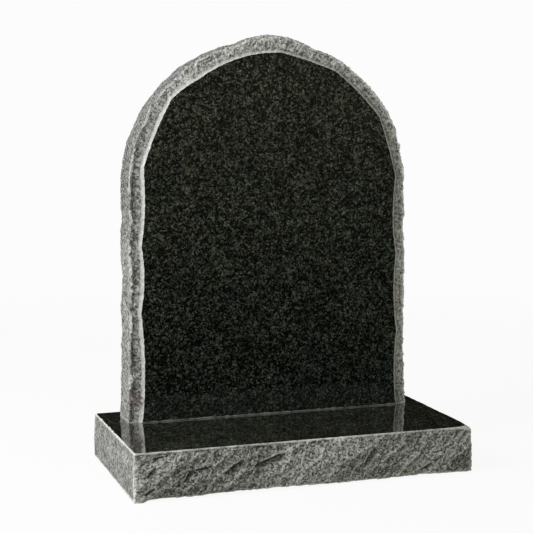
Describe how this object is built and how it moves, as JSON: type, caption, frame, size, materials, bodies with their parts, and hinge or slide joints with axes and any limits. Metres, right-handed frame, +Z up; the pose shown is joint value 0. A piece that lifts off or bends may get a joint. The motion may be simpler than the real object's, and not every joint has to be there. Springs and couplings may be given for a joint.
{
  "type": "headstone",
  "caption": "Half-round granite headstone with a polished face and rock-pitched edges, standing on its rock-faced base.",
  "frame": {"origin": "middle of the base's flat underside", "axes": "+Z up, -Y out of the polished face, +X to the right as seen from the front"},
  "size_m": [0.6219, 0.3235, 0.7723],
  "materials": {
    "polished_granite": "polished dark grey granite with pitched edges",
    "pitched_granite": "rock-pitched grey granite with a polished top"
  },
  "bodies": {
    "root": {"headstone": "polished_granite", "base": "pitched_granite"}
  },
  "joints": []
}
